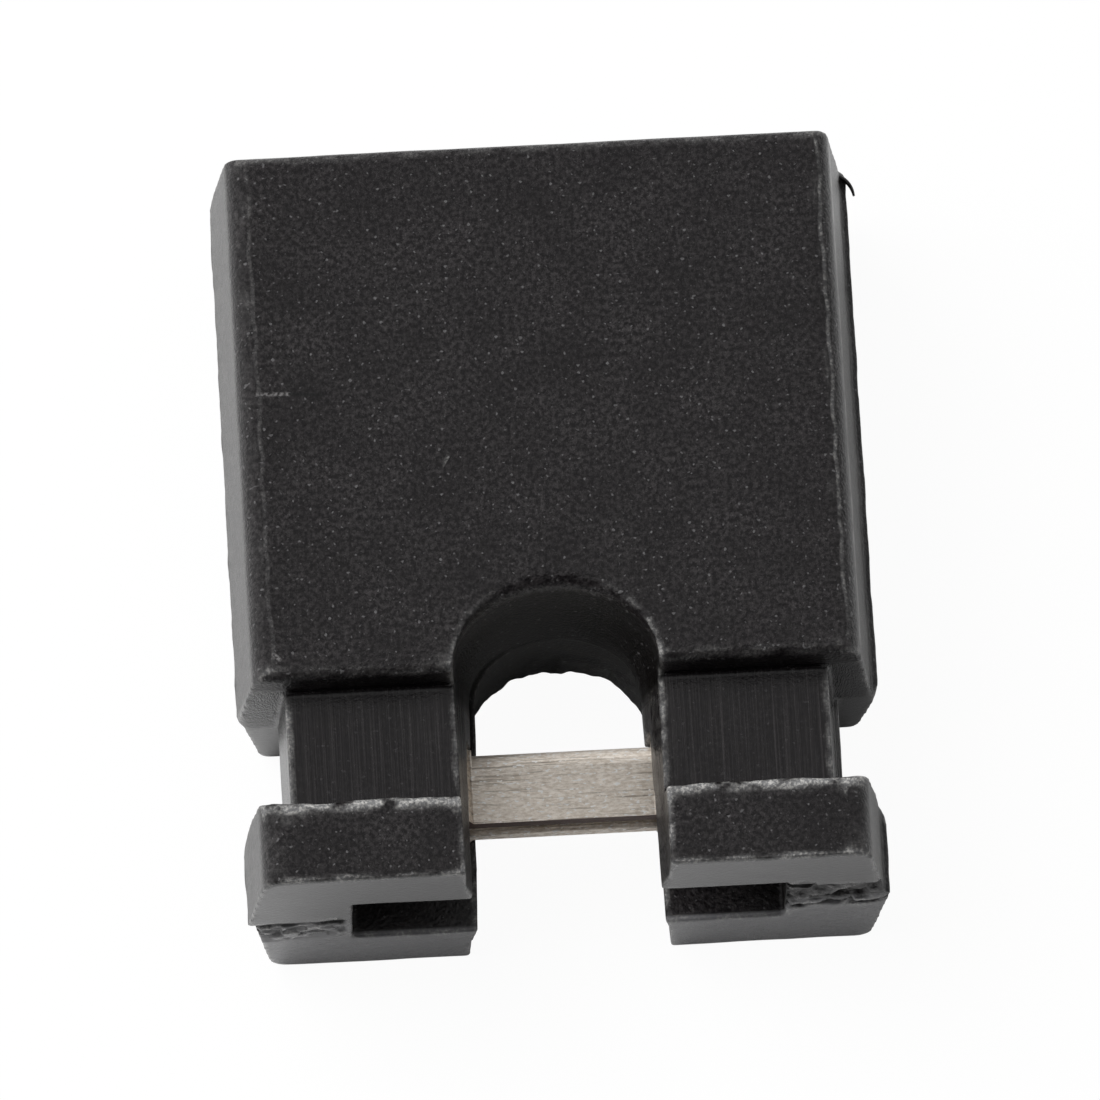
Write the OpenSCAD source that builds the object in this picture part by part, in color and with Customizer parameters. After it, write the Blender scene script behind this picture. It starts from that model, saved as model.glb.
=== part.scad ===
// Open-top jumper shunt for two square posts at 2.54 mm pitch.
// It lies on its broad back face: X runs across the two posts, +Y points out of the
// pin-entry end, and Z is the thickness. The mould's parting plane is half way up.
// One moulded housing holds one stamped and folded contact.

/* [Housing] */
// Distance between the two posts
pitch = 2.54; // [2.4:0.02:2.7]
// Housing across the posts, at the parting plane
housing_w = 5.08; // [4.96:0.02:5.3]
// Housing thickness
housing_t = 2.4; // [2.2:0.05:2.8]
// Draft of the outer side walls, in degrees
wall_draft_angle = 6.5; // [2:0.5:8]
// Radius along the four long edges
long_edge_r = 0.18; // [0.08:0.02:0.24]
// Radius round the pin-entry end
entry_edge_r = 0.07; // [0.02:0.01:0.12]
// Sideways step between the two mould halves
mould_step = 0.05; // [0:0.01:0.08]

/* [Grip groove and feet] */
// Length of the body at the parting plane, from the pin-entry end to the groove
body_l = 4.35; // [3.8:0.05:6]
// Distance from there to the feet's upper edge at the front and back faces
groove_w = 0.95; // [0.85:0.05:1.3]
// Length of the feet
foot_l = 0.7; // [0.5:0.05:1.2]
// Depth of the groove in the front and back faces
groove_d = 0.37; // [0.2:0.01:0.42]
// Depth of the groove in each side, at the parting plane
side_groove_d = 0.32; // [0.15:0.01:0.35]
// Draft of the neck's sides, in degrees
neck_draft_angle = 4; // [1:0.5:6]
// Lean of the body's wall above the groove, in degrees
ledge_lean_angle = 3; // [0:0.5:5]
// Radius along the body's edge above the groove
shoulder_r = 0.09; // [0.05:0.01:0.2]
// Radius of the body's corners beside the groove, seen from the front
body_corner_r = 0.1; // [0.05:0.01:0.2]
// Lean of the feet's upper walls, in degrees
foot_lean_angle = 5; // [1:0.5:7]
// Radius along the feet's upper edges
foot_edge_r = 0.04; // [0.02:0.01:0.08]
// Radius of the feet's upper outer corners, seen from the front
foot_corner_r = 0.2; // [0.06:0.02:0.24]
// Lean of the feet's end faces, in degrees
end_lean_angle = 1.2; // [0:0.2:3]

/* [Notch] */
// Width of the notch at the parting plane, where its arch starts
notch_w = 1.36; // [1.1:0.02:1.4]
// Width of the notch at the parting plane, at its open end
notch_mouth_w = 1.45; // [1.4:0.01:1.6]
// Distance from the body's wall above the groove to where the arch starts
arch_start = 0.08; // [0:0.02:0.3]
// Height of the arch at the parting plane
arch_h = 0.52; // [0.4:0.01:0.6]
// How far each side of the notch steps back from the parting plane to the front, at the arch
front_flare = 0.13; // [0.02:0.01:0.18]
// How far each side steps back from the parting plane to the back, at the arch
back_flare = 0.03; // [0.02:0.01:0.18]
// How far each side steps back from the parting plane to both faces, at the open end
mouth_flare = 0.075; // [0.02:0.005:0.12]
// Draft of the top of the arch, in degrees: front half, then back half
front_arch_angle = 5; // [2:0.5:7]
back_arch_angle = 2; // [1:0.5:7]
// Radius of the front and back edges at the top of the arch
arch_edge_r = 0.14; // [0.06:0.02:0.18]

/* [Sockets] */
// Side of a square post
post_w = 0.64; // [0.6:0.01:0.66]
// Room round a post in the pin-entry holes, on each side
post_room = 0.08; // [0.04:0.01:0.12]
// Length of the wall that the pin-entry holes go through
entry_wall = 0.85; // [0.7:0.05:1.0]
// Depth of the lead-in at each pin-entry hole
lead_in = 0.22; // [0.1:0.02:0.3]
// Distance from the body's wall above the groove to the slot's floor, on which the contact seats
seat_drop = 0.33; // [0.2:0.01:0.5]
// Room beside the contact in the slot, on each side
slot_room = 0.09; // [0.04:0.01:0.16]

/* [Contact] */
// Thickness of the sheet
sheet_t = 0.14; // [0.12:0.01:0.15]
// Length of the bridge across the notch, along Y
bridge_l = 0.6; // [0.45:0.01:0.66]
// Gap between the bridge's two layers
bridge_gap = 0.12; // [0.08:0.01:0.16]
// How far the lower layer's cut edge runs past the upper one's
hem_offset = 0.025; // [0:0.005:0.05]
// Slope of the jogs that open the layers beside each post, in degrees
jog_slope_angle = 70; // [60:2:80]
// Radius of the jogs' bends, along the sheet's middle
bend_r = 0.09; // [0.08:0.01:0.1]
// Room between a post and the jogs beside it
jog_room = 0.02; // [0.01:0.01:0.04]
// Width of a spring leaf
leaf_w = 0.7; // [0.6:0.02:0.74]
// Gap between two leaves where they touch a post
grip_gap = 0.38; // [0.3:0.02:0.5]
// Distance from the leaves' tips to the pin-entry wall
tip_room = 0.2; // [0.1:0.05:0.4]
// Room over and under the contact, on each side
fit_room = 0.01; // [0.005:0.005:0.03]
// Room beside a leaf in its passage, on each side
side_room = 0.08; // [0.04:0.01:0.1]

/* [Hidden] */
plastic = [0.17, 0.16, 0.17];
tin = [0.66, 0.62, 0.58];
round_steps = 5;    // segments in each rounded edge
arch_steps = 20;    // segments along the notch's arch
flare_steps = 4;    // levels in each half of the notch's stepped sides
over = 0.1;         // how far a cutter runs past a face

housing_l = body_l + groove_w + foot_l;
mid_z = housing_t / 2;
entry_y = housing_l / 2;
end_y = -housing_l / 2;
groove_y = entry_y - body_l;             // body's wall above the groove, at the parting plane
ledge_y = groove_y + mid_z * tan(ledge_lean_angle);  // the same, at the front and back faces
foot_y = groove_y - groove_w;            // feet's upper edge at the front and back faces
foot_top_y = foot_y + mid_z * tan(foot_lean_angle);
post_x = pitch / 2;
slot_floor_y = groove_y - seat_drop;
slot_reach = post_x + leaf_w / 2 + slot_room;
passage_h = post_w + 2 * (sheet_t + fit_room);
passage_w = leaf_w + 2 * side_room;
entry_hole = post_w + 2 * post_room;
passage_end_y = entry_y - entry_wall;
fold_r = bridge_gap / 2 + sheet_t;

// ---- outlines ----

// Points of one corner [x, y, r], rounded between its neighbours
function rounded_corner(before, at, after) =
    let (p = [at[0], at[1]],
         u = [before[0], before[1]] - p, v = [after[0], after[1]] - p,
         a = u / norm(u), b = v / norm(v),
         half = acos(a * b) / 2,
         c = p + (a + b) / norm(a + b) * at[2] / sin(half),
         t = p + a * at[2] / tan(half) - c,
         turn = (180 - 2 * half) * sign(a[1] * b[0] - a[0] * b[1]))
    [for (i = [0:round_steps])
        let (w = turn * i / round_steps)
        c + [t[0] * cos(w) - t[1] * sin(w), t[0] * sin(w) + t[1] * cos(w)]];

// Closed outline through corners [x, y, r], where r = 0 keeps a corner sharp
function rounded(corners) =
    let (n = len(corners))
    [for (i = [0:n - 1])
        each corners[i][2] == 0 ? [[corners[i][0], corners[i][1]]]
            : rounded_corner(corners[(i + n - 1) % n], corners[i], corners[(i + 1) % n])];

// Closed outline of a strip of sheet along a centre line
function strip(line, thickness) =
    let (last = len(line) - 1,
         across = [for (i = [0:last])
             let (d = line[min(i + 1, last)] - line[max(i - 1, 0)])
             [-d[1], d[0]] / norm(d) * thickness / 2])
    concat([for (i = [0:last]) line[i] + across[i]],
           [for (i = [last:-1:0]) line[i] - across[i]]);

// Smooth step from 0 to 1
function ease(s) = (1 - cos(180 * s)) / 2;

// Level near 0 and near 1, with the whole step between a quarter and three quarters
function smooth(s) = ease(min(max(2 * s - 0.5, 0), 1));

module along_x(x0, x1) translate([x0, 0, 0]) rotate([90, 0, 90]) linear_extrude(x1 - x0) children();
module along_y(y0, y1) translate([0, y1, 0]) rotate([90, 0, 0]) linear_extrude(y1 - y0) children();
module each_post() for (side = [-1, 1]) translate([side * post_x, 0, 0]) children();

// ---- housing ----

// Section across the housing: two drafted mould halves that meet at the parting plane
module mould_section(half_w, depth, draft, r) {
    top_w = half_w - (mid_z - depth) * tan(draft);
    s = mould_step / 2;
    polygon(rounded([
        [half_w - s, mid_z, 0], [top_w - s, housing_t - depth, r],
        [-top_w - s, housing_t - depth, r], [-half_w - s, mid_z, 0],
        [-half_w + s, mid_z, 0], [-top_w + s, depth, r],
        [top_w + s, depth, r], [half_w + s, mid_z, 0]]));
}

module body_block() {
    half_w = (housing_w - mould_step) / 2;
    plan_w = housing_w / 2;
    intersection() {
        along_y(groove_y, entry_y) mould_section(half_w, 0, wall_draft_angle, long_edge_r);
        along_x(-housing_w, housing_w)
            polygon(rounded([
                [groove_y, mid_z, 0], [ledge_y, 0, shoulder_r], [entry_y, 0, entry_edge_r],
                [entry_y, housing_t, entry_edge_r], [ledge_y, housing_t, shoulder_r]]));
        linear_extrude(housing_t)
            polygon(rounded([
                [-plan_w, groove_y, body_corner_r], [plan_w, groove_y, body_corner_r],
                [plan_w, entry_y, entry_edge_r], [-plan_w, entry_y, entry_edge_r]]));
    }
}

module neck() {
    half_w = (housing_w - mould_step) / 2 - side_groove_d;
    along_y(foot_y - over, ledge_y + shoulder_r)
        mould_section(half_w, groove_d, neck_draft_angle, foot_edge_r / 2);
}

module feet_block() {
    half_w = (housing_w - mould_step) / 2;
    plan_w = housing_w / 2;
    front_end_y = end_y + housing_t * tan(end_lean_angle);
    intersection() {
        along_y(end_y, foot_top_y) mould_section(half_w, 0, wall_draft_angle, long_edge_r);
        along_x(-housing_w, housing_w)
            polygon(rounded([
                [end_y, 0, foot_edge_r], [foot_y, 0, foot_edge_r], [foot_top_y, mid_z, 0],
                [foot_y, housing_t, foot_edge_r], [front_end_y, housing_t, foot_edge_r / 2]]));
        linear_extrude(housing_t)
            polygon(rounded([
                [-plan_w, end_y, foot_edge_r], [plan_w, end_y, foot_edge_r],
                [plan_w, foot_top_y, foot_corner_r], [-plan_w, foot_top_y, foot_corner_r]]));
    }
}

// Outline of the notch at height z, with the arch's edge widened by round_off
function notch_ring(z, half, round_off) =
    let (lift = abs(z - mid_z),
         stepped = smooth(lift / mid_z),
         flare = half > 0 ? front_flare : back_flare,
         w = notch_w / 2 + flare * stepped,
         mouth = notch_mouth_w / 2 + mouth_flare * stepped,
         h = arch_h + lift * tan(half > 0 ? front_arch_angle : back_arch_angle) + round_off,
         shift = -half * mould_step / 2,
         centre_y = groove_y + arch_start,
         past = (mouth - w) * over / (centre_y - end_y))
    concat(
        [[shift + mouth + past, end_y - over, z]],
        [for (i = [0:arch_steps])
            let (a = 180 * i / arch_steps)
            [shift + w * cos(a), centre_y + h * sin(a), z]],
        [[shift - mouth - past, end_y - over, z]]);

// One half of the notch's core, front (1) or back (-1): one outline at each height,
// joined into a solid
module notch_half(half) {
    plain = mid_z - arch_edge_r;
    levels = concat(
        [for (i = [0:flare_steps]) [plain * i / flare_steps, 0]],
        [for (i = [1:round_steps])
            let (a = 90 * i / round_steps)
            [plain + arch_edge_r * sin(a), arch_edge_r * (1 - cos(a))]],
        [[mid_z + over, arch_edge_r]]);
    rings = [for (level = levels) notch_ring(mid_z + half * level[0], half, level[1])];
    n = len(rings[0]);
    top = len(rings) - 1;
    faces = concat(
        [[for (i = [0:n - 1]) i]],
        [for (k = [0:top - 1], i = [0:n - 1])
            let (j = (i + 1) % n)
            each [[k * n + i, (k + 1) * n + i, k * n + j],
                  [k * n + j, (k + 1) * n + i, (k + 1) * n + j]]],
        [[for (i = [n - 1:-1:0]) top * n + i]]);
    polyhedron(
        points = [for (ring = rings) each ring],
        faces = half > 0 ? faces : [for (face = faces) [for (i = [len(face) - 1:-1:0]) face[i]]],
        convexity = 4);
}

module notch_core() {
    notch_half(1);
    notch_half(-1);
}

// Slot through the feet and neck that the contact is pushed in through
module slot() {
    translate([-slot_reach, end_y - over, mid_z - passage_h / 2])
        cube([2 * slot_reach, slot_floor_y - end_y + over, passage_h]);
}

// Passage for two leaves, then the pin-entry hole and its lead-in
module socket() {
    lead_w = entry_hole + 2 * lead_in;
    translate([-passage_w / 2, slot_floor_y - over, mid_z - passage_h / 2])
        cube([passage_w, passage_end_y - slot_floor_y + over, passage_h]);
    translate([-entry_hole / 2, passage_end_y - over, mid_z - entry_hole / 2])
        cube([entry_hole, entry_wall + 2 * over, entry_hole]);
    intersection() {
        translate([0, 0, mid_z - lead_w])
            linear_extrude(2 * lead_w) lead_in_outline(lead_w);
        translate([-lead_w, 0, mid_z])
            rotate([0, 90, 0]) linear_extrude(2 * lead_w) lead_in_outline(lead_w);
    }
}

// Outline of a lead-in: as wide as the hole at its floor, and runs on past the face
module lead_in_outline(lead_w) {
    polygon([
        [-entry_hole / 2, entry_y - lead_in], [entry_hole / 2, entry_y - lead_in],
        [lead_w / 2 + over, entry_y + over], [-lead_w / 2 - over, entry_y + over]]);
}

module housing() color(plastic)
difference() {
    union() {
        body_block();
        neck();
        feet_block();
    }
    notch_core();
    slot();
    each_post() socket();
}

// ---- contact ----

// Heights of the sheet's middle, above the parting plane
bridge_z = (bridge_gap + sheet_t) / 2;
band_z = (post_w + sheet_t) / 2;
grip_z = (grip_gap + sheet_t) / 2;
band_half = post_x + leaf_w / 2;
bend_reach = bend_r * tan(jog_slope_angle / 2);
jog_x1 = post_x - post_w / 2 - jog_room - bend_reach;
jog_x0 = jog_x1 - (band_z - bridge_z) / tan(jog_slope_angle);
fold_half = jog_x0 - bend_reach;
bridge_y = slot_floor_y - bridge_l;
tip_y = passage_end_y - tip_room;
grip_y = tip_y - 5 * sheet_t;

// One layer of the bridge: flat between the fold's ends, and jogged apart beside each post.
// Past the fold it runs on to the slot's floor, which stops the contact there.
module bridge_layer(overrun) {
    corners = [
        [-band_half, band_z], [-jog_x1, band_z, bend_r], [-jog_x0, bridge_z, bend_r],
        [jog_x0, bridge_z, bend_r], [jog_x1, band_z, bend_r], [band_half, band_z]];
    line = concat(
        [corners[0]],
        [for (i = [1:4]) each rounded_corner(corners[i - 1], corners[i], corners[i + 1])],
        [corners[5]]);
    difference() {
        along_y(bridge_y - overrun, slot_floor_y) polygon(strip(line, sheet_t));
        translate([-fold_half, slot_floor_y - fold_r, 0])
            cube([2 * fold_half, fold_r + over, mid_z]);
    }
}

// One spring leaf: it closes in on the post, then flares open for the post's tip
module leaf() {
    run = grip_y - slot_floor_y;
    flare_z = grip_z + (band_z - grip_z) / 2;
    line = concat(
        [[slot_floor_y, band_z]],
        [for (i = [0:2 * round_steps])
            let (s = i / (2 * round_steps))
            [slot_floor_y + run * (0.1 + 0.9 * s), band_z + (grip_z - band_z) * ease(s)]],
        [for (i = [1:round_steps])
            let (s = i / round_steps)
            [grip_y + (tip_y - grip_y) * s, grip_z + (flare_z - grip_z) * s * s]]);
    translate([post_x, 0, 0])
        along_x(-leaf_w / 2, leaf_w / 2) polygon(strip(line, sheet_t));
}

// The fold that joins the two layers along the edge that faces the arch
module fold() {
    length = 2 * fold_half;
    translate([-fold_half, slot_floor_y - fold_r, 0])
        rotate([0, 90, 0])
        difference() {
            cylinder(r = fold_r, h = length, $fn = 48);
            translate([0, 0, -over]) cylinder(r = bridge_gap / 2, h = length + 2 * over, $fn = 48);
            translate([-fold_r - over, -fold_r - over, -over])
                cube([2 * (fold_r + over), fold_r + over, length + 2 * over]);
        }
}

module contact_half(overrun) {
    bridge_layer(overrun);
    for (side = [0, 1]) mirror([side, 0, 0]) leaf();
}

module contact() color(tin)
translate([0, 0, mid_z]) {
    contact_half(0);
    mirror([0, 0, 1]) contact_half(hem_offset);
    fold();
}

housing();
contact();
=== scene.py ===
# %% [markdown]
# # A jumper shunt, five millimetres wide
# The real object is two pieces: a black housing, moulded in one shot, and a strip of tin-plated
# bronze that is folded on itself and pushed into it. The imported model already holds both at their
# real size. It could be rendered as it is, but this close up, every edge of real plastic is soft
# and every face has a grain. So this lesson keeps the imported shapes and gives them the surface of
# a real moulding and of real sheet metal.

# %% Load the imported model
import math

import bpy
import numpy as np
from mathutils import Matrix, Vector


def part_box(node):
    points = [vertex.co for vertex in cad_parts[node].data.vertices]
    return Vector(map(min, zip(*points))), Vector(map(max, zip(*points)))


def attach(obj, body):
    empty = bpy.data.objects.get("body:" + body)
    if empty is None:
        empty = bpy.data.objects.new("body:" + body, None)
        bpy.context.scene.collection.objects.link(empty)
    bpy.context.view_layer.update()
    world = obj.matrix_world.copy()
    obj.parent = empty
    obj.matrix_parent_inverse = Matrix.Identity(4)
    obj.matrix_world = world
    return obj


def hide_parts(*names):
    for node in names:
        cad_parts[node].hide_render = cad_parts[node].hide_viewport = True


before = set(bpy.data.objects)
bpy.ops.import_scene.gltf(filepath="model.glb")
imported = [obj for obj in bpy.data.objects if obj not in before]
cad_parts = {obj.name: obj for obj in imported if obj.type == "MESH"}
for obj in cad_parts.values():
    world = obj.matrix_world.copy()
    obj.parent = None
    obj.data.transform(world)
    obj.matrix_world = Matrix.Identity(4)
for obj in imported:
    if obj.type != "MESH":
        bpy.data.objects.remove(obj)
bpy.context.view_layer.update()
MM = 0.001

# %% [markdown]
# ## Where things are
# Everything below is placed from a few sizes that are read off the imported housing, so that nothing
# has to be fitted by eye. The parting plane, where the two halves of the mould met, is half way up.
# The feet and the notch are at the low end of Y, and the two posts would enter at the high end.

# %% Sizes read from the frame, in millimetres
house_low, house_high = (np.array(corner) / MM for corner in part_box("housing"))
half_width = float(house_high[0])
end_y, entry_y = float(house_low[1]), float(house_high[1])
thick = float(house_high[2])
parting_z = thick / 2
print("half width", half_width, "ends", end_y, entry_y, "thickness", thick)

# %% [markdown]
# ## The housing's skin
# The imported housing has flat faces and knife-sharp edges. On the real moulding every edge is a
# little soft, the parting line is torn on the feet, and the edges carry small dents. Bevels would
# round the edges, but could not tear them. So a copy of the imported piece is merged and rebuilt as
# an even skin of tiny squares with a voxel remesh, which numpy can then push in and out. The remesh
# works in millimetres, because its voxels may not be smaller than a ten-thousandth of a unit.

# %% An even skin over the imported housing
VOXEL = 0.018              # edge of one voxel, mm
WELD_REACH = 0.0005        # points closer than this become one, mm


def applied(piece, kind, **settings):
    """Adds one modifier, applies it, and gives back the piece with its new mesh."""
    modifier = piece.modifiers.new(kind.lower(), kind)
    for key, value in settings.items():
        setattr(modifier, key, value)
    graph = bpy.context.evaluated_depsgraph_get()
    mesh = bpy.data.meshes.new_from_object(piece.evaluated_get(graph))
    piece.modifiers.clear()
    old = piece.data
    piece.data = mesh
    bpy.data.meshes.remove(old)
    return piece


def merged_copy(source, name):
    """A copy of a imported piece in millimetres, with its loose triangles joined."""
    mesh = source.data.copy()
    mesh.materials.clear()
    mesh.transform(Matrix.Scale(1 / MM, 4))
    copy = bpy.data.objects.new(name, mesh)
    bpy.context.scene.collection.objects.link(copy)
    return applied(copy, "WELD", merge_threshold=WELD_REACH)


skin = merged_copy(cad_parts["housing"], "housing_skin")
applied(skin, "REMESH", mode="VOXEL", voxel_size=VOXEL, use_smooth_shade=True)
print("skin:", len(skin.data.vertices), "points before it is thinned")

# %% [markdown]
# ## Soft edges
# Molten plastic never fills the last hundredths of a corner, so no edge of a moulding is sharp. A
# bevel would need clean edges, which the skin no longer has. Instead each point moves towards the
# mean of its neighbours. Four rounds round an edge by about two voxels and leave flat faces flat.

# %% Mesh arrays, in and out
def read_points(mesh):
    """All vertices of a mesh as one array of points."""
    points = np.empty(len(mesh.vertices) * 3)
    mesh.vertices.foreach_get("co", points)
    return points.reshape(-1, 3)


def write_points(mesh, points):
    """Puts the array back into the mesh."""
    mesh.vertices.foreach_set("co", points.ravel())
    mesh.update()


def read_normals(mesh):
    """The vertex normals as one array."""
    normals = np.empty(len(mesh.vertices) * 3, np.float32)
    mesh.vertices.foreach_get("normal", normals)
    return normals.reshape(-1, 3).astype(float)


def read_edges(mesh):
    """The two vertex numbers of every edge."""
    edges = np.empty(len(mesh.edges) * 2, np.int32)
    mesh.edges.foreach_get("vertices", edges)
    return edges.reshape(-1, 2)


# %% Soften every edge
def soften(points, edges, rounds, share=0.5):
    """Moves each point part of the way to the mean of its neighbours, several times over.

    One round is p <- p + share * (mean of the neighbours - p), for all points at once.
    """
    count = len(points)
    both = np.concatenate([edges, edges[:, ::-1]])
    neighbours = np.bincount(both[:, 0], minlength=count)[:, None]
    for _ in range(rounds):
        sums = np.stack(
            [np.bincount(both[:, 0], points[both[:, 1], axis], count) for axis in range(3)],
            axis=1,
        )
        points = points + share * (sums / neighbours - points)
    return points


sharp = read_points(skin.data)
softened = soften(sharp, read_edges(skin.data), rounds=4)
write_points(skin.data, softened)
print("furthest that an edge moved:", round(float(np.abs(softened - sharp).max()), 4), "mm")

# %% [markdown]
# ## Noise in numpy
# To roughen a mesh by the right amount we need a smooth random field that can be read at any point,
# as whole arrays. Blender's own noise is read one point at a time, which is slow here. Value noise
# is enough: a random number at each corner of a cubic lattice, blended between the corners.

# %% A smooth random field
def corner_values(cells, seed):
    """A number from -1 to 1 for each lattice corner: the fractional part of a large sine."""
    mixed = cells @ np.array([127.1, 311.7, 74.7]) + seed * 53.3
    return np.modf(np.sin(mixed) * 43758.5453)[0]


def noise(points, size, seed=0):
    """Value noise from about -1 to 1, whose lumps are about size across.

    Each point takes its eight lattice corners, weighted by s = f * f * (3 - 2 f) of its place f
    inside its cell, along each axis in turn.
    """
    scaled = points / size
    cell = np.floor(scaled)
    part = scaled - cell
    part = part * part * (3 - 2 * part)
    total = np.zeros(len(points))
    for corner in np.ndindex(2, 2, 2):
        step = np.array(corner)
        weight = np.prod(np.where(step == 1, part, 1 - part), axis=1)
        total += weight * corner_values(cell + step, seed)
    return total


def rough(points, size, octaves=3, seed=0):
    """Several layers of noise, each half as large and half as strong as the one before."""
    layers = [noise(points, size / 2**k, seed + k) / 2**k for k in range(octaves)]
    return np.sum(layers, axis=0)


# %% [markdown]
# ## Marks of the mould
# A cheap mould leaves its history on the part. Where its halves met, the plastic tore when the feet
# were cut from the runner: on one foot as a ragged line with pits, on the other as a broken pocket
# beside the slot. These could be carved by hand. Here each mark is a mask, which is 1 where the
# mark is and fades to 0, times a rough field, so that it can be moved or deepened by one number.

# %% Measures and masks that place the marks, in millimetres
foot_y = end_y + 0.70            # the feet's edge along the groove
groove_y = entry_y - 4.35        # the body's wall on the groove's other side
neck_z = thick - 0.37            # the neck's front face
slot_side = 1.71                 # the slot's end, from the middle
PAST = 1.0                       # a distance that reaches past the housing


def near(values, middle, reach):
    """1 at middle, falling smoothly to 0 at reach away."""
    t = np.clip(1 - np.abs(values - middle) / reach, 0, 1)
    return t * t * (3 - 2 * t)


def within(values, low, high, fade):
    """1 between low and high, fading smoothly to 0 over the distance fade outside them."""
    rise = np.clip((values - low) / fade + 1, 0, 1)
    fall = np.clip((high - values) / fade + 1, 0, 1)
    return rise * rise * (3 - 2 * rise) * fall * fall * (3 - 2 * fall)


# %% How deep the feet's ends are torn
def torn_left(points, x, height, ragged):
    """Depth of the ragged line along the left foot's parting plane, with pits below it."""
    outside_slot = within(x, -half_width - PAST, -slot_side - 0.1, 0.06)
    line = near(height, -0.02, 0.075) * outside_slot
    pits = within(rough(points * [0.6, 1, 1.4], 0.06, seed=5), 0.1, 9, 0.25) * near(height, -0.24, 0.24)
    pits = pits * within(x, -half_width + 0.1, -slot_side - 0.1, 0.1)
    return line * (0.09 + 0.05 * ragged) + pits * 0.045


def torn_right(x, height, ragged):
    """Depth of the pocket beside the right foot's slot, the broken face and the crack below it."""
    outside_slot = within(x, slot_side, half_width + PAST, 0.04)
    pocket = within(x, slot_side - 0.03, slot_side + 0.2, 0.03) * within(height, 0.2, 0.42, 0.03)
    broken = within(height, -0.05, 0.3, 0.08) * outside_slot
    crack = near(height, -0.17 + 0.05 * ragged, 0.05) * outside_slot
    return pocket * 0.12 + broken * np.clip(0.05 + 0.05 * ragged, 0, 0.12) + crack * 0.07


def torn_ends(points):
    """How far each point of the feet's ends is torn in, in mm, by its height over the parting plane.

    The height wanders by a slow noise along X, so that no mark runs straight.
    """
    x, y, z = points.T
    height = z - parting_z + 0.03 * rough(points * [1, 0, 0], 0.25, seed=3)
    ragged = rough(points * [0.7, 1, 1.2], 0.08, seed=11)
    depth = torn_left(points, x, height, ragged) + torn_right(x, height, ragged)
    return depth * within(y, end_y - PAST, end_y + 0.12, 0.02)


# %% Tear the feet's ends
points, normals = read_points(skin.data), read_normals(skin.data)
x, y, z = points.T               # views, so they follow the points as these move
level = z - parting_z            # kept as it was before any mark
tear = torn_ends(points) * within(-normals[:, 1], 0.5, 2, 0.3)
points[:, 1] += tear
print("deepest tear:", round(float(tear.max()), 3), "mm")

# %% [markdown]
# ## Lumpy rims and uneven lips
# The arch's back rim is lumpy, because flash was squeezed out there and trimmed by hand. The feet's
# edges along the groove are uneven, the parting line stands a little proud on the sides, and no
# face of a real moulding is quite flat. All of these are small, so one noise for each is enough.

# %% Roughen the arch's back rim
rim = within(level, -9, -0.72, 0.25) * near(x, 0, 1.0) * within(y, groove_y, -0.45, 0.1)
lumps = 0.015 + 0.03 * rough(points * [1, 1, 0.3], 0.16, seed=21)
points += normals * (rim * lumps)[:, None]
print("highest lump on the rim:", round(float((rim * lumps).max()), 3), "mm")

# %% Roughen the feet's lips, the parting line and the faces
lip = near(y, foot_y, 0.1) * within(np.abs(level), parting_z - 0.25, 9, 0.1)
points[:, 1] += lip * 0.02 * rough(points, 0.3, seed=31)
points[:, 2] += lip * 0.01 * rough(points, 0.12, seed=32) * np.sign(level)

seam = near(level, 0, 0.05) * within(np.abs(x), half_width - 0.12, 9, 0.03)
points[:, 0] += np.sign(x) * seam * 0.006 * (rough(points, 0.2, seed=41) + 0.3)
points += normals * (0.003 * rough(points, 0.5, seed=51))[:, None]
write_points(skin.data, points)
print("points on the lips:", int((lip > 0.5).sum()), "and on the parting line:", int((seam > 0.5).sum()))

# %% [markdown]
# ## Thinning
# Flat faces need few triangles. The skin is thinned with Decimate, which keeps its points where the
# surface bends: at the edges and in the tears.

# %% Thin the skin
SKIN_TRIANGLES = 188_000

applied(skin, "DECIMATE", ratio=min(1.0, SKIN_TRIANGLES / (2 * len(skin.data.polygons))))
print("skin:", len(skin.data.polygons), "triangles")

# %% [markdown]
# ## Where the edges are worn and glint
# Rubbed edges are pale on black plastic, and small edges glint. One pale colour stands for both: wear on
# the feet's lips, and partly wear, partly painted glint on the other edges. They could be painted, but
# the shape itself tells where
# they are: a point on an edge stands out from its smoothed surroundings. That distance, made
# patchy, is kept as an attribute that the material reads. The feet's lips are worn most.

# %% Store the wear with its painted glints, and the tears
def store(mesh, name, values):
    """Keeps one number per point as a named attribute."""
    layer = mesh.attributes.new(name, "FLOAT", "POINT")
    layer.data.foreach_set("value", values.astype(np.float32))


points, normals = read_points(skin.data), read_normals(skin.data)
x, y, z = points.T
smoother = soften(points, read_edges(skin.data), rounds=8)
stand_out = np.sum((points - smoother) * normals, axis=1)
edge = np.clip((stand_out - 0.0012) / 0.0045, 0, 1)
patchy = np.clip(0.65 + 0.9 * rough(points, 0.1, seed=61), 0, 1.6)
at_lip = near(y, foot_y - 0.03, 0.085) * within(z, thick - 0.07, 9, 0.04)
at_foot = within(y, end_y + 0.06, foot_y + 0.1, 0.05)
torn = np.clip((torn_ends(points) - 0.015) / 0.05, 0, 1)
# Pale edges: wear on the feet's lips, and partly wear, partly painted glint on the other edges.
wear_and_glint_amount = (edge * (0.4 + 0.1 * at_foot) + 1.1 * at_lip) * (1 - 0.8 * torn)
store(skin.data, "wear_and_glint", np.clip(wear_and_glint_amount * patchy, 0, 1))
store(skin.data, "torn", torn)
print("edges stand out by up to", round(float(stand_out.max()), 4), "mm")

# %% Back to metres, in the housing's place
skin.data.transform(Matrix.Scale(MM, 4))
skin.data.shade_smooth()
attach(skin, "root")
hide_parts("housing")
print("the skin stands for the housing")

# %% [markdown]
# ## Helpers for node materials
# A procedural material is a graph of nodes. It could be wired by hand in the editor, but a script
# can be read and repeated. These helpers keep each graph short: `node` adds one node and sets its
# values, and the others each stand for one common step.

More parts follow.
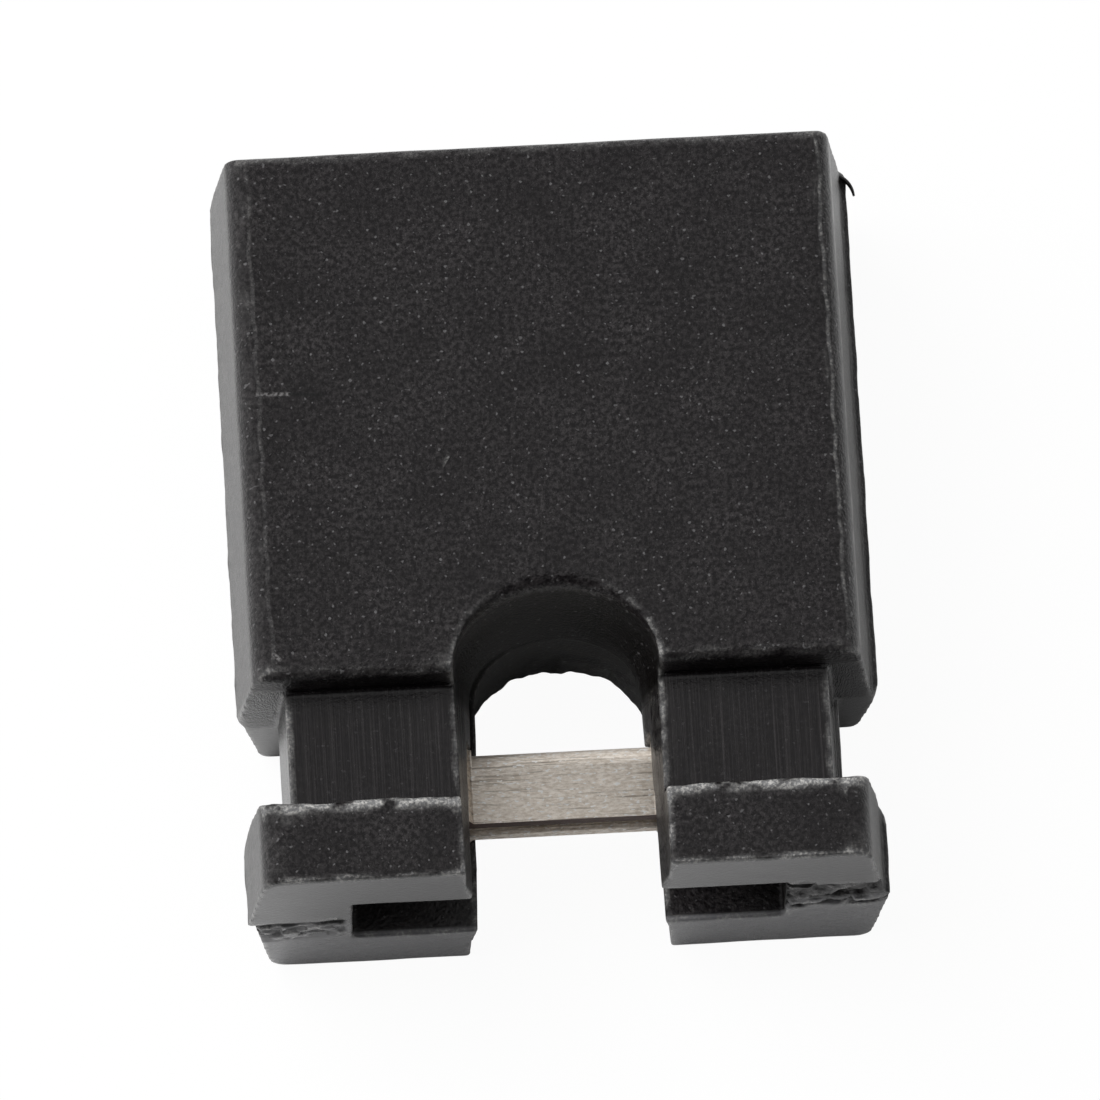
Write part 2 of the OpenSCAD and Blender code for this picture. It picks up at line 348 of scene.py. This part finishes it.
# %% Nodes in one line each
def new_material(name):
    """An empty node material, its tree and its Principled shader, wired to the output."""
    material = bpy.data.materials.new(name)
    material.use_nodes = True
    tree = material.node_tree
    tree.nodes.clear()
    shader = tree.nodes.new("ShaderNodeBsdfPrincipled")
    output = tree.nodes.new("ShaderNodeOutputMaterial")
    tree.links.new(shader.outputs[0], output.inputs[0])
    return material, tree, shader


def node(tree, kind, inputs=None, **settings):
    """One shader node. inputs maps a socket's name or number to a value or to another socket."""
    made = tree.nodes.new("ShaderNode" + kind)
    for key, value in settings.items():
        setattr(made, key, value)
    for key, value in (inputs or {}).items():
        if isinstance(value, bpy.types.NodeSocket):
            tree.links.new(value, made.inputs[key])
        else:
            made.inputs[key].default_value = value
    return made


def maths(tree, operation, a, b=0.0):
    """Two values through one Math node."""
    return node(tree, "Math", {0: a, 1: b}, operation=operation).outputs[0]


def product(tree, first, *others):
    """Several values multiplied together, in order."""
    for value in others:
        first = maths(tree, "MULTIPLY", first, value)
    return first


# %% Ramps, bands, blends and noises
def ramp(tree, value, low, high, to_low=0.0, to_high=1.0):
    """value, stretched from low..high to to_low..to_high and held at the ends."""
    made = node(tree, "MapRange", {0: value, 1: low, 2: high, 3: to_low, 4: to_high})
    return made.outputs[0]


def band(tree, value, low, high, fade):
    """1 between low and high, fading to 0 over fade on each side."""
    rise = ramp(tree, value, low - fade, low)
    fall = ramp(tree, value, high, high + fade, 1.0, 0.0)
    return product(tree, rise, fall)


def blend(tree, amount, first, second):
    """A colour between two others; each may be a value or a socket."""
    made = node(tree, "Mix", {0: amount, 6: first, 7: second}, data_type="RGBA")
    return made.outputs[2]


def stretched(tree, place, scale, detail=2.0, roughness=0.5, offset=(0, 0, 0)):
    """Noise with its own scale along each axis, in lumps per millimetre."""
    mapping = node(tree, "Mapping", {"Vector": place, "Scale": scale, "Location": offset})
    values = {"Vector": mapping.outputs[0], "Scale": 1.0, "Detail": detail, "Roughness": roughness}
    return node(tree, "TexNoise", values).outputs[0]


def in_millimetres(tree):
    """Object coordinates in millimetres, and each of the three by itself."""
    place = node(tree, "TexCoord").outputs["Object"]
    scaled = node(tree, "VectorMath", {0: place, "Scale": 1 / MM}, operation="SCALE").outputs[0]
    return scaled, node(tree, "SeparateXYZ", {0: scaled}).outputs


def normal_along(tree, axis):
    """The surface normal's share along one axis, from -1 to 1."""
    normal = node(tree, "NewGeometry").outputs["Normal"]
    return node(tree, "SeparateXYZ", {0: normal}).outputs[axis]


# %% [markdown]
# ## Black moulded plastic
# The mould was spark-eroded, which leaves a fine matt grain on the body and the feet. The neck was
# milled, so it shows straight lines, and the feet's ends are smooth where the runner was cut off.
# One noise would make all of it look alike. So masks made from Object coordinates, in millimetres,
# say which finish is where, and each finish has noises of its own scale.

# %% Which finish is where on the housing
def finish_masks(tree, x, y, z):
    """1 on the milled neck, on the feet's ends and inside the arch, each in its own mask."""
    on_neck = product(
        tree,
        band(tree, y, foot_y + 0.05, groove_y + 0.05, 0.05),
        ramp(tree, z, neck_z + 0.05, neck_z + 0.1, 1, 0),
    )
    on_end = ramp(tree, y, end_y + 0.05, end_y + 0.07, 1, 0)
    in_arch = product(
        tree,
        band(tree, x, -0.8, 0.8, 0.03),
        ramp(tree, z, thick - 0.16, thick - 0.1, 1, 0),
        band(tree, y, groove_y, -0.3, 0.1),
    )
    return on_neck, on_end, in_arch


# %% [markdown]
# ## Rubbed and glinting lines, and scratches
# The housing has been handled. Pale broken lines run where the right-hand rounding starts and ends, with
# a faint one at the left.
# They are partly wear and partly painted highlight, and the line on the right wall is a painted highlight
# alone. The front face has one scratch and one nick. The lines lie on flat stretches, where the thinned
# skin has no points left to hold an attribute, so they are drawn by coordinates instead.

# %% Lines along the roundings
def glint_and_rub_lines(tree, place, x, y, z):
    """Two thin lines on the front face, a faint one at the left, and apart from them a wall's line. The
    thin lines are partly wear and partly painted highlight, and the wall's line is a painted highlight.

    Each is a narrow band of X or Z, moved sideways by a slow noise along Y and broken by a fast one.
    """
    slow = stretched(tree, place, (0, 2.5, 0), detail=2, offset=(4, 0, 0))
    sway = ramp(tree, slow, 0.3, 0.7, -0.02, 0.02)
    broken = ramp(tree, stretched(tree, place, (6, 11, 6), detail=2), 0.32, 0.62, 0.1, 1.0)
    moved_x = maths(tree, "ADD", x, sway)
    moved_z = maths(tree, "ADD", z, sway)
    # Pale lines where the roundings meet the front face: partly wear, partly painted highlight.
    inner = band(tree, moved_x, half_width - 0.275, half_width - 0.26, 0.014)
    left = band(tree, moved_x, 0.285 - half_width, 0.3 - half_width, 0.014)
    # A painted highlight along the top of the right wall.
    outer = band(tree, moved_z, thick - 0.26, thick - 0.18, 0.04)
    outer = product(tree, outer, ramp(tree, x, half_width - 0.19, half_width - 0.16))
    lines = maths(tree, "ADD", product(tree, inner, 0.4), product(tree, left, 0.12))
    lines = product(tree, lines, ramp(tree, z, thick - 0.05, thick - 0.02))
    lasting = product(tree, band(tree, y, groove_y + 0.2, entry_y - 0.12, 0.1), broken)
    return product(tree, lines, lasting), product(tree, outer, lasting)


# %% Scratches on the front face
SCRATCH_START, SCRATCH_END = (-2.27, 1.04, thick), (-2.0, 1.03, thick)
NICK_START, NICK_END = (-2.235, -1.09, thick), (-2.19, -1.13, thick)
SCRAPE_START, SCRAPE_END = (-2.0, 1.03, thick), (-1.74, 1.01, thick)


def scratch(tree, place, start, end, reach):
    """1 along a straight line between two points, fading to 0 at reach from it.

    The nearest point of the line is start + t * (end - start), with t held between 0 and 1.
    """
    along = Vector(end) - Vector(start)
    offset = node(tree, "VectorMath", {0: place, 1: start}, operation="SUBTRACT").outputs[0]
    scaled = along / along.length_squared
    share = node(tree, "VectorMath", {0: offset, 1: scaled}, operation="DOT_PRODUCT").outputs["Value"]
    held = ramp(tree, share, 0, 1)
    nearest = node(tree, "VectorMath", {0: along, "Scale": held}, operation="SCALE").outputs[0]
    gap = node(tree, "VectorMath", {0: offset, 1: nearest}, operation="DISTANCE").outputs["Value"]
    return ramp(tree, gap, 0.4 * reach, reach, 1.0, 0.0)


def scratched(tree, place, fine, colour):
    """The colour with a pale broken scratch and nick, and a dark scrape that goes on from it."""
    pale_scratch = scratch(tree, place, SCRATCH_START, SCRATCH_END, 0.02)
    nick = scratch(tree, place, NICK_START, NICK_END, 0.022)
    marks = maths(tree, "MAXIMUM", pale_scratch, nick)
    marks = product(tree, marks, ramp(tree, fine, 0.4, 0.62))
    colour = blend(tree, marks, colour, (0.13, 0.125, 0.125, 1))
    scrape = scratch(tree, place, SCRAPE_START, SCRAPE_END, 0.018)
    return blend(tree, product(tree, scrape, 0.8), colour, (0.001, 0.001, 0.001, 1))


# %% [markdown]
# ## The plastic's colour
# Black plastic is not one black. The grain is mottled between near-black and charcoal, in clouds.
# The neck has paler drawn lines, the cut ends carry a faint brushed grey and their lower half is
# lightened as painted light, the walls are lightly scuffed, and little light reaches inside the arch, so
# it is darkened as painted shade. Specks of filler are pale. Each is blended over the last, so the order
# of the lines below is the order in which they would have been made.

# %% Colours of the plastic
DEEP_BLACK = (0.0018, 0.0009, 0.0014, 1)
CHARCOAL = (0.029, 0.026, 0.0268, 1)
END_BRUSH_AND_PAINTED_LIGHT = (0.9, 0.9, 0.94, 1)
SCUFF_GREY = (0.95, 0.93, 0.86, 1)
ARCH_PAINTED_SHADE = (0.0012, 0.0007, 0.0006, 1)
SPECK_GREY = (0.10, 0.098, 0.1, 1)
RUB_AND_GLINT_DARK, RUB_AND_GLINT_LIGHT = (0.17, 0.17, 0.172, 1), (0.5, 0.49, 0.47, 1)
WALL_PAINTED_HIGHLIGHT = (0.42, 0.41, 0.4, 1)
TEAR_PAINTED_SHADE = (0.005, 0.004, 0.004, 1)


def base_colour(tree, place, z, coarse, lines, masks, smooth):
    """Mottled black, with paler lines on the neck, brushed grey ends whose lower half is lightened as
    painted light, scuffed walls and painted shade in the arch.
    """
    on_neck, on_end, in_arch = masks
    cloud = stretched(tree, place, (2.2, 2.2, 2.2), detail=2, offset=(1, 9, 4))
    mottle = product(
        tree,
        ramp(tree, coarse, 0.42, 0.68),
        ramp(tree, cloud, 0.3, 0.7, 0.5, 1.2),
        ramp(tree, smooth, 0, 1, 1.0, 0.2),
    )
    drawn = product(tree, ramp(tree, lines, 0.5, 0.7, 0.0, 0.5), on_neck)
    colour = blend(tree, maths(tree, "ADD", mottle, drawn), DEEP_BLACK, CHARCOAL)

    brushed = stretched(tree, place, (7, 7, 40), detail=3, roughness=0.6, offset=(2, 2, 6))
    # Painted light: the lower half of each foot's end is lightened. The brushed grey added to it is the
    # end's own tone.
    brush_and_painted_light = ramp(tree, z, parting_z - 0.1, parting_z, 0.1, 0.0)
    brush_and_painted_light = maths(tree, "ADD", ramp(tree, brushed, 0.35, 0.65, 0.0, 0.03), brush_and_painted_light)
    colour = blend(tree, product(tree, on_end, brush_and_painted_light), colour, END_BRUSH_AND_PAINTED_LIGHT)

    on_wall = ramp(tree, maths(tree, "ABSOLUTE", normal_along(tree, 0)), 0.85, 0.97)
    scuffs = stretched(tree, place, (9, 15, 9), detail=3, roughness=0.7, offset=(6, 6, 1))
    scuffs = product(tree, on_wall, ramp(tree, scuffs, 0.4, 0.66, 0.0, 0.035))
    colour = blend(tree, scuffs, colour, SCUFF_GREY)
    # Painted shade: the inside of the arch is darkened.
    return blend(tree, in_arch, colour, ARCH_PAINTED_SHADE)


# %% Specks, wear, painted highlights and painted shade over the colour
def specks(tree, place, smooth):
    """Small even dots and fewer, larger grits, both weaker where the face is smooth."""
    dots = stretched(tree, place, (30, 30, 30), detail=0, offset=(7, 5, 3))
    grits = stretched(tree, place, (15, 19, 15), detail=1, offset=(9, 2, 6))
    both = maths(tree, "MAXIMUM", ramp(tree, dots, 0.74, 0.82), ramp(tree, grits, 0.745, 0.79, 0.0, 0.8))
    return product(tree, both, ramp(tree, smooth, 0, 1, 0.8, 0.15))


def weathered(tree, place, x, y, z, fine, colour):
    """The colour with pale edges and lines (wear, partly painted highlight), a painted highlight on the
    wall, scratches, and painted shade in the tears.
    """
    wear_and_glint = node(tree, "Attribute", attribute_name="wear_and_glint").outputs["Fac"]
    torn = node(tree, "Attribute", attribute_name="torn").outputs["Fac"]
    thin_glint_and_rub_lines, painted_wall_highlight = glint_and_rub_lines(tree, place, x, y, z)
    rub_and_glint_colour = blend(tree, ramp(tree, fine, 0.45, 0.65), RUB_AND_GLINT_DARK, RUB_AND_GLINT_LIGHT)
    # Pale edges and lines: wear on the feet's lips, and partly wear, partly painted highlight elsewhere.
    colour = blend(tree, maths(tree, "MAXIMUM", wear_and_glint, thin_glint_and_rub_lines), colour, rub_and_glint_colour)
    # Painted highlight along the top of the right wall.
    colour = blend(tree, product(tree, painted_wall_highlight, 0.5), colour, WALL_PAINTED_HIGHLIGHT)
    colour = scratched(tree, place, fine, colour)
    # Painted shade in the tears' recesses.
    return blend(tree, product(tree, torn, 0.75), colour, TEAR_PAINTED_SHADE)


# %% The plastic's material
GRAIN_DEPTH = 0.009              # mm


def plastic_material():
    """Near-black plastic: grain, milled lines, smooth ends, pale specks, worn and glinting edges, painted
    light on the feet's ends, and painted shade in the arch and the tears.
    """
    material, tree, shader = new_material("moulded_plastic")
    place, (x, y, z) = in_millimetres(tree)
    masks = finish_masks(tree, x, y, z)
    on_neck, on_end, in_arch = masks
    smooth = maths(tree, "MAXIMUM", on_neck, on_end)
    coarse = stretched(tree, place, (25, 25, 25), detail=3, roughness=0.7)
    fine = stretched(tree, place, (38, 38, 38), detail=2, roughness=0.6, offset=(3, 1, 2))
    lines = stretched(tree, place, (70, 0.7, 20), detail=3, roughness=0.6)

    grain = maths(tree, "ADD", product(tree, coarse, 0.5), fine)
    grain = product(tree, grain, ramp(tree, smooth, 0, 1, 1.0, 0.25))
    height = maths(tree, "ADD", grain, product(tree, lines, on_neck))
    bump = node(tree, "Bump", {"Height": height, "Strength": 1.0, "Distance": GRAIN_DEPTH * MM})

    colour = base_colour(tree, place, z, coarse, lines, masks, smooth)
    colour = blend(tree, specks(tree, place, smooth), colour, SPECK_GREY)
    colour = weathered(tree, place, x, y, z, fine, colour)
    gloss = maths(tree, "ADD", ramp(tree, smooth, 0, 1, 0.36, 0.26), product(tree, in_arch, 0.2))

    tree.links.new(colour, shader.inputs["Base Color"])
    tree.links.new(bump.outputs[0], shader.inputs["Normal"])
    tree.links.new(gloss, shader.inputs["Roughness"])
    return material


plastic = plastic_material()
skin.data.materials.append(plastic)
print("plastic:", len(plastic.node_tree.nodes), "nodes")

# %% [markdown]
# ## Flash at a corner
# Where the mould's halves did not quite close, a thin hair of plastic was squeezed out at one
# corner of the parting line, and it has curled over. A bevelled curve would do, but a swept tube in
# numpy gives a hair that is flattened and thins towards its tip: rings of points round an arc.

# %% The curled hair of flash
HAIR_RINGS, HAIR_SIDES = 24, 10
HAIR_RADIUS = 0.16               # of the arc, mm
HAIR_GIRTH = 0.024               # of the tube at its root, mm


def hair_points():
    """Rings round an arc, where ring t has the radius girth * sqrt(1 - 0.85 t), t from 0 to 1.

    The arc is c + R * (0.9 cos a, 1.15 sin a) in the XY plane. Each ring lies across it, so its
    points are centre + radius * (cos b * outwards + 1.6 sin b * up).
    """
    t = np.linspace(0, 1, HAIR_RINGS)
    angle = np.radians(95 - 88 * t)
    centre = np.array([half_width - 0.085, entry_y - 0.235, parting_z])
    outwards = np.stack([np.cos(angle), np.sin(angle), np.zeros(HAIR_RINGS)], axis=1)
    middle_line = centre + HAIR_RADIUS * outwards * [0.9, 1.15, 1]
    girth = HAIR_GIRTH * np.sqrt(1 - 0.85 * t)
    turn = np.linspace(0, 2 * np.pi, HAIR_SIDES, endpoint=False)
    spokes = np.cos(turn)[None, :, None] * outwards[:, None, :]
    spokes = spokes + np.sin(turn)[None, :, None] * np.array([0, 0, 1.6])
    return (middle_line[:, None, :] + girth[:, None, None] * spokes).reshape(-1, 3)


def hair_faces():
    """Four-sided faces between neighbouring rings and a cap at each end.

    They run clockwise as seen from outside, so their normals point into the tube.
    """
    ring, step = np.meshgrid(np.arange(HAIR_RINGS - 1), np.arange(HAIR_SIDES), indexing="ij")
    here, there = ring * HAIR_SIDES, (ring + 1) * HAIR_SIDES
    after = (step + 1) % HAIR_SIDES
    sides = np.stack([here + step, there + step, there + after, here + after], axis=-1)
    first_ring = list(range(HAIR_SIDES))
    last_ring = list(range((HAIR_RINGS - 1) * HAIR_SIDES, HAIR_RINGS * HAIR_SIDES))
    return sides.reshape(-1, 4).tolist() + [first_ring, last_ring[::-1]]


def new_piece(name, points, faces):
    """An object in the scene from arrays of points, in metres, and faces."""
    mesh = bpy.data.meshes.new(name)
    mesh.from_pydata(points, [], faces)
    made = bpy.data.objects.new(name, mesh)
    bpy.context.scene.collection.objects.link(made)
    return made


hair = new_piece("flash_hair", (hair_points() * MM).tolist(), hair_faces())
hair.data.shade_smooth()
hair.data.materials.append(plastic)
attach(hair, "root")
print("flash hair:", len(hair.data.polygons), "faces")

# %% [markdown]
# ## Tin-plated contact
# The strip was rolled, plated, cut and folded. Rolling leaves fine lines along it, the tin is
# blotchy with bright specks, and the upper layer's cut edge shows raw bronze, darkened further as painted
# shade. Its shape is right in the imported model, so only its material changes. The rounded fold mirrors
# the dark arch, and its plating is dull, so there the metal is mixed with a plain pale surface.

# %% The contact's material
PLATE_DARK, PLATE_LIGHT = (0.74, 0.652, 0.56, 1), (1.0, 0.925, 0.835, 1)
SCORE_BROWN = (0.34, 0.29, 0.24, 1)
SPECK_WHITE = (1.0, 0.98, 0.95, 1)
BRONZE_WITH_PAINTED_SHADE = (0.055, 0.026, 0.018, 1)
ROLL_DEPTH = 0.008               # mm


def tin_colour(tree, place, z, lines, blotches, facing_y):
    """Blotchy tin, scored along the lines, with white specks and one raw bronze edge, darkened as painted
    shade.
    """
    colour = blend(tree, ramp(tree, blotches, 0.4, 0.6), PLATE_DARK, PLATE_LIGHT)
    colour = blend(tree, ramp(tree, lines, 0.37, 0.45, 0.85, 0.0), colour, SCORE_BROWN)
    dots = stretched(tree, place, (20, 42, 30), detail=1, offset=(5, 2, 8))
    colour = blend(tree, ramp(tree, dots, 0.61, 0.67), colour, SPECK_WHITE)
    # The cut edge's raw bronze is darkened further as painted shade.
    upper_layer = ramp(tree, z, parting_z - 0.02, parting_z + 0.02)
    cut = product(tree, ramp(tree, facing_y, -0.9, -0.6, 1.0, 0.0), upper_layer)
    return blend(tree, cut, colour, BRONZE_WITH_PAINTED_SHADE)


def tin_material():
    """Dull tin plate over rolled bronze: fine lines along the strip, specks, and a raw cut edge darkened
    as painted shade.
    """
    material, tree, shader = new_material("tin_plate")
    place, (x, y, z) = in_millimetres(tree)
    lines = stretched(tree, place, (1.2, 38, 10), detail=4, roughness=0.65)
    blotches = stretched(tree, place, (18, 45, 20), detail=4, roughness=0.65, offset=(2, 4, 1))
    facing_y = normal_along(tree, 1)
    on_fold = ramp(tree, facing_y, 0.1, 0.5)
    height = maths(tree, "ADD", lines, product(tree, blotches, 0.7))
    bump = node(tree, "Bump", {"Height": height, "Strength": 1.0, "Distance": ROLL_DEPTH * MM})
    colour = tin_colour(tree, place, z, lines, blotches, facing_y)
    tree.links.new(colour, shader.inputs["Base Color"])
    tree.links.new(bump.outputs[0], shader.inputs["Normal"])
    tree.links.new(ramp(tree, on_fold, 0, 1, 0.86, 0.25), shader.inputs["Metallic"])
    tree.links.new(ramp(tree, lines, 0.3, 0.7, 0.32, 0.45), shader.inputs["Roughness"])
    return material


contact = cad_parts["contact"]
contact.data.materials.clear()
contact.data.materials.append(tin_material())
print("tin:", len(contact.data.materials[0].node_tree.nodes), "nodes")

# %% [markdown]
# ## Floor
# The part lies on a white sheet. A plain white floor would turn grey in this soft light, and more
# light would bleach the part. So for rays from the camera the floor is nearly all white glow, and
# the little that is left keeps a faint shadow. What the plastic mirrors is a plain floor with its
# full shadow, and that is what makes the two side walls differ.

# %% A white floor
FLOOR_REACH = 0.3                # from the middle to an edge, metres
FLOOR_GLOW = 0.955               # share of glow in what the camera sees


def floor_material():
    """A white matt surface, most of which is replaced by a white glow for camera rays alone."""
    material = bpy.data.materials.new("floor")
    material.use_nodes = True
    tree = material.node_tree
    tree.nodes.clear()
    output = tree.nodes.new("ShaderNodeOutputMaterial")
    matt = node(tree, "BsdfDiffuse", {"Color": (0.9, 0.9, 0.9, 1)})
    glow = node(tree, "Emission", {"Color": (1, 1, 1, 1), "Strength": 1.0})
    seen = node(tree, "LightPath").outputs["Is Camera Ray"]
    share = product(tree, seen, FLOOR_GLOW)
    mixed = node(tree, "MixShader", {0: share, 1: matt.outputs[0], 2: glow.outputs[0]})
    tree.links.new(mixed.outputs[0], output.inputs[0])
    return material


floor_corners = [(i * FLOOR_REACH, j * FLOOR_REACH, 0.0) for i, j in [(-1, -1), (1, -1), (1, 1), (-1, 1)]]
floor = new_piece("floor", floor_corners, [(0, 1, 2, 3)])
floor.data.materials.append(floor_material())
print("floor:", 2 * FLOOR_REACH, "m across")

# %% [markdown]
# ## Sky
# Black plastic shows little but what it mirrors, so the surroundings matter more than the lamps. A
# studio is imitated by one sky: even overhead, brighter at the left, and dark in front, so that
# the ledges that face the front go black. The camera itself sees plain white.

# %% The studio's sky
ZENITH, LEFT, RIGHT, FRONT = 0.46, 0.78, 0.4, 0.05      # FRONT is a share of the others


def studio_world():
    """White to the camera, and a soft studio of bright and dark sides to everything else."""
    world = bpy.data.worlds.new("studio")
    world.use_nodes = True
    tree = world.node_tree
    tree.nodes.clear()
    towards = node(tree, "TexCoord").outputs["Generated"]
    x, y, z = node(tree, "SeparateXYZ", {0: towards}).outputs
    left = ramp(tree, x, -0.75, -0.15, LEFT - ZENITH, 0.0)
    right = ramp(tree, x, 0.1, 0.7, 0.0, RIGHT - ZENITH)
    across = maths(tree, "ADD", maths(tree, "ADD", left, right), ZENITH)
    front = ramp(tree, y, -0.5, -0.2, FRONT, 1.0)
    behind = ramp(tree, y, 0.6, 0.95, 1.0, 0.4)
    studio = product(tree, across, product(tree, front, behind))
    seen = node(tree, "LightPath").outputs["Is Camera Ray"]
    strength = node(tree, "Mix", {0: seen, 2: studio, 3: 1.0}, data_type="FLOAT").outputs[0]
    sky = node(tree, "Background", {"Color": (1, 1, 1, 1), "Strength": strength})
    output = tree.nodes.new("ShaderNodeOutputWorld")
    tree.links.new(sky.outputs[0], output.inputs[0])
    return world


bpy.context.scene.world = studio_world()
print("sky: overhead", ZENITH, "left", LEFT, "right", RIGHT)

# %% [markdown]
# ## Key light
# A soft lamp high on the left lights the floor beside the left wall and leaves the right wall in
# shadow. Its mirror image would burn a spot into the rounded edge, so it is hidden from
# reflections, as a polariser would do it.

# %% The key light
KEY_PLACE = (-0.05, 0.029, 0.086)
KEY_SIZE, KEY_POWER = 0.08, 0.12


def key_light(target):
    """A square lamp that faces the target."""
    data = bpy.data.lights.new("key", "AREA")
    data.shape = "SQUARE"
    data.size = KEY_SIZE
    data.energy = KEY_POWER
    lamp = bpy.data.objects.new("key", data)
    lamp.location = KEY_PLACE
    lamp.rotation_euler = (target - Vector(KEY_PLACE)).to_track_quat("-Z", "Y").to_euler()
    lamp.visible_glossy = False
    bpy.context.scene.collection.objects.link(lamp)
    return lamp


key = key_light(Vector((0, 0, parting_z * MM)))
print("key light:", round(key.location.length, 3), "m away")

# %% [markdown]
# ## Camera
# So small a thing is looked at through a long lens, nearly from above and a little from the notched
# end. The camera's three axes are worked out from two angles and a roll. It stands where the
# chosen width of the scene just fills the frame.

# %% The camera
SIDEWAYS = math.radians(-6.0)
HEIGHT = math.radians(74.2)
ROLL = math.radians(-2.86)
VIEW_WIDTH = 8.72 * MM
AIM_RIGHT, AIM_UP = 0.0296, 0.3130     # from the middle of the parting plane, mm
LENS = 580.0

away = math.cos(HEIGHT)
back = Vector((math.sin(SIDEWAYS) * away, -math.cos(SIDEWAYS) * away, math.sin(HEIGHT)))
across = Vector((math.cos(SIDEWAYS), math.sin(SIDEWAYS), 0))
up = back.cross(across)
right_axis = across * math.cos(ROLL) - up * math.sin(ROLL)
up_axis = across * math.sin(ROLL) + up * math.cos(ROLL)
aim = (right_axis * AIM_RIGHT + up_axis * AIM_UP + back * parting_z * math.sin(HEIGHT)) * MM

camera_data = bpy.data.cameras.new("camera")
camera_data.lens = LENS
distance = VIEW_WIDTH * LENS / camera_data.sensor_width
camera_data.clip_start, camera_data.clip_end = distance * 0.1, distance * 10
camera = bpy.data.objects.new("camera", camera_data)
bpy.context.scene.collection.objects.link(camera)
placed = Matrix((right_axis, up_axis, back)).transposed().to_4x4()
placed.translation = aim + back * distance
camera.matrix_world = placed
bpy.context.scene.camera = camera
bpy.context.scene.view_settings.view_transform = "Standard"
print("camera:", round(distance / MM, 1), "mm away")
